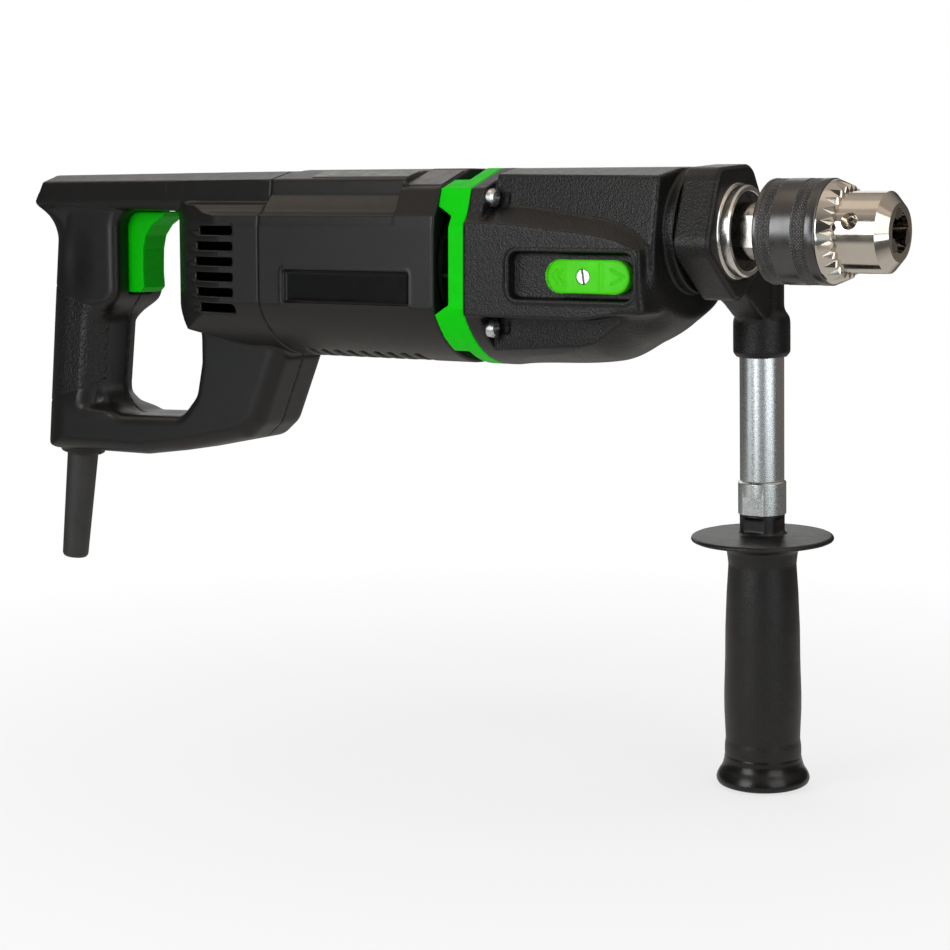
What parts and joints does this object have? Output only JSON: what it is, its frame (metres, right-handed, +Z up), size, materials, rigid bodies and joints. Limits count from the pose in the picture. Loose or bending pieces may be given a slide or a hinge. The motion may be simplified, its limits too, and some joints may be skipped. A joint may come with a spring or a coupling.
{
  "type": "corded power drill",
  "caption": "Corded two-speed drill with a rear D-handle and trigger, keyed three-jaw chuck, speed selector and a clamp-on side handle.",
  "frame": {"origin": "centre of the chuck's nose face, on the spindle axis", "axes": "+X along the spindle out of the chuck, +Z up, +Y to the tool's left as held"},
  "size_m": [0.4877, 0.1204, 0.2922],
  "materials": {
    "black_plastic": "fine matte",
    "black_casting": "black grained coat",
    "green_plastic": "satin",
    "dark_green_plastic": "satin",
    "lime_plastic": "satin gloss",
    "grip_plastic": "matte",
    "black_rubber": "matte",
    "plain_plate": "satin, bare",
    "zinc_steel": "satin zinc plate",
    "steel": "ground",
    "polished_steel": "polished",
    "blackened_steel": "black oxide",
    "lamination_steel": "stacked sheet",
    "copper": "enamelled wire",
    "brass": "satin",
    "carbon": "carbon",
    "bare_aluminium": "machined"
  },
  "bodies": {
    "housing": {"handle_shell_right": "black_plastic", "handle_shell_left": "black_plastic", "motor_housing": "black_plastic", "brush_carrier": "black_plastic", "switch_body": "black_plastic", "control_module": "black_plastic", "cable_clamp": "black_plastic", "gear_housing": "black_casting", "air_ring": "green_plastic", "cable_sleeve": "black_rubber", "shaft_seal": "black_rubber", "rating_plate": "plain_plate", "front_plate": "plain_plate", "case_screws": "zinc_steel", "handle_screws": "zinc_steel", "cable_clamp_screws": "zinc_steel", "brush_springs": "zinc_steel", "trigger_spring": "zinc_steel", "spindle_bearing_front": "steel", "armature_bearing_front": "steel", "armature_bearing_rear": "steel", "stator_core": "lamination_steel", "field_coils": "copper", "brush_holders": "brass", "spindle_bush_rear": "brass", "countershaft_bushes": "brass", "carbon_brushes": "carbon", "bearing_shield": "bare_aluminium"},
    "armature": {"armature_shaft": "steel", "armature_core": "lamination_steel", "armature_windings": "copper", "commutator": "copper", "cooling_fan": "black_plastic"},
    "countershaft": {"countershaft": "steel", "countershaft_wheel": "steel"},
    "low_gear": {"low_gear": "steel"},
    "high_gear": {"high_gear": "steel"},
    "spindle": {"spindle": "steel", "chuck_body": "polished_steel", "spindle_circlips": "zinc_steel"},
    "dog_sleeve": {"dog_sleeve": "steel"},
    "chuck_sleeve": {"chuck_sleeve": "blackened_steel", "chuck_crown": "steel", "chuck_nut": "steel"},
    "chuck_jaw_1": {"chuck_jaw_1": "steel"},
    "chuck_jaw_2": {"chuck_jaw_2": "steel"},
    "chuck_jaw_3": {"chuck_jaw_3": "steel"},
    "selector": {"selector_knob": "lime_plastic", "selector_screw": "zinc_steel", "shift_fork": "steel"},
    "trigger": {"trigger": "dark_green_plastic"},
    "clamp_collar": {"clamp_collar": "black_casting"},
    "side_handle": {"side_handle_stud": "zinc_steel", "side_handle_tube": "zinc_steel", "side_handle_ferrule": "zinc_steel", "side_handle_grip": "grip_plastic"}
  },
  "joints": [
    {"name": "armature_spin", "type": "hinge", "parent": "housing", "child": "armature", "pos_m": [0, 0, -0.0175], "axis": [1, 0, 0], "continuous": true},
    {"name": "countershaft_spin", "type": "hinge", "parent": "housing", "child": "countershaft", "pos_m": [0, 0.02022, -0.01864], "axis": [1, 0, 0], "continuous": true},
    {"name": "low_gear_spin", "type": "hinge", "parent": "housing", "child": "low_gear", "pos_m": [0, 0, 0], "axis": [1, 0, 0], "continuous": true},
    {"name": "high_gear_spin", "type": "hinge", "parent": "housing", "child": "high_gear", "pos_m": [0, 0, 0], "axis": [1, 0, 0], "continuous": true},
    {"name": "spindle_spin", "type": "hinge", "parent": "housing", "child": "spindle", "pos_m": [0, 0, 0], "axis": [1, 0, 0], "continuous": true},
    {"name": "selector_slide", "type": "slide", "parent": "housing", "child": "selector", "axis": [-1, 0, 0], "range_m": [0, 0.015]},
    {"name": "dog_sleeve_slide", "type": "slide", "parent": "spindle", "child": "dog_sleeve", "axis": [-1, 0, 0], "range_m": [0, 0.015]},
    {"name": "chuck_sleeve_turn", "type": "hinge", "parent": "spindle", "child": "chuck_sleeve", "pos_m": [0, 0, 0], "axis": [1, 0, 0], "range_deg": [0, 3100]},
    {"name": "chuck_jaw_1_slide", "type": "slide", "parent": "spindle", "child": "chuck_jaw_1", "axis": [0.9744, 0.0544, -0.2183], "range_m": [0, 0.02156]},
    {"name": "chuck_jaw_2_slide", "type": "slide", "parent": "spindle", "child": "chuck_jaw_2", "axis": [0.9744, 0.1618, 0.1563], "range_m": [0, 0.02156]},
    {"name": "chuck_jaw_3_slide", "type": "slide", "parent": "spindle", "child": "chuck_jaw_3", "axis": [0.9744, -0.2162, 0.062], "range_m": [0, 0.02156]},
    {"name": "trigger_pull", "type": "slide", "parent": "housing", "child": "trigger", "axis": [-1, 0, 0], "range_m": [0, 0.007], "stiffness_N_per_m": 600, "springref_m": -0.004, "deforming": ["trigger_spring"]},
    {"name": "collar_swivel", "type": "hinge", "parent": "housing", "child": "clamp_collar", "pos_m": [0, 0, 0], "axis": [1, 0, 0], "continuous": true},
    {"name": "side_handle_turn", "type": "hinge", "parent": "clamp_collar", "child": "side_handle", "pos_m": [-0.0842, 0.0388, 0], "axis": [0, 0.0414, -0.9991], "range_deg": [0, 360]}
  ],
  "couplings": [
    {"joint": "countershaft_spin", "follows": "armature_spin", "ratio": -0.28571},
    {"joint": "low_gear_spin", "follows": "armature_spin", "ratio": 0.10714},
    {"joint": "high_gear_spin", "follows": "armature_spin", "ratio": 0.1978},
    {"joint": "spindle_spin", "follows": "armature_spin", "ratio": 0.10714},
    {"joint": "dog_sleeve_slide", "follows": "selector_slide", "ratio": 1},
    {"joint": "chuck_jaw_1_slide", "follows": "chuck_sleeve_turn", "m_per_rad": 0.00039823},
    {"joint": "chuck_jaw_2_slide", "follows": "chuck_sleeve_turn", "m_per_rad": 0.00039823},
    {"joint": "chuck_jaw_3_slide", "follows": "chuck_sleeve_turn", "m_per_rad": 0.00039823}
  ]
}
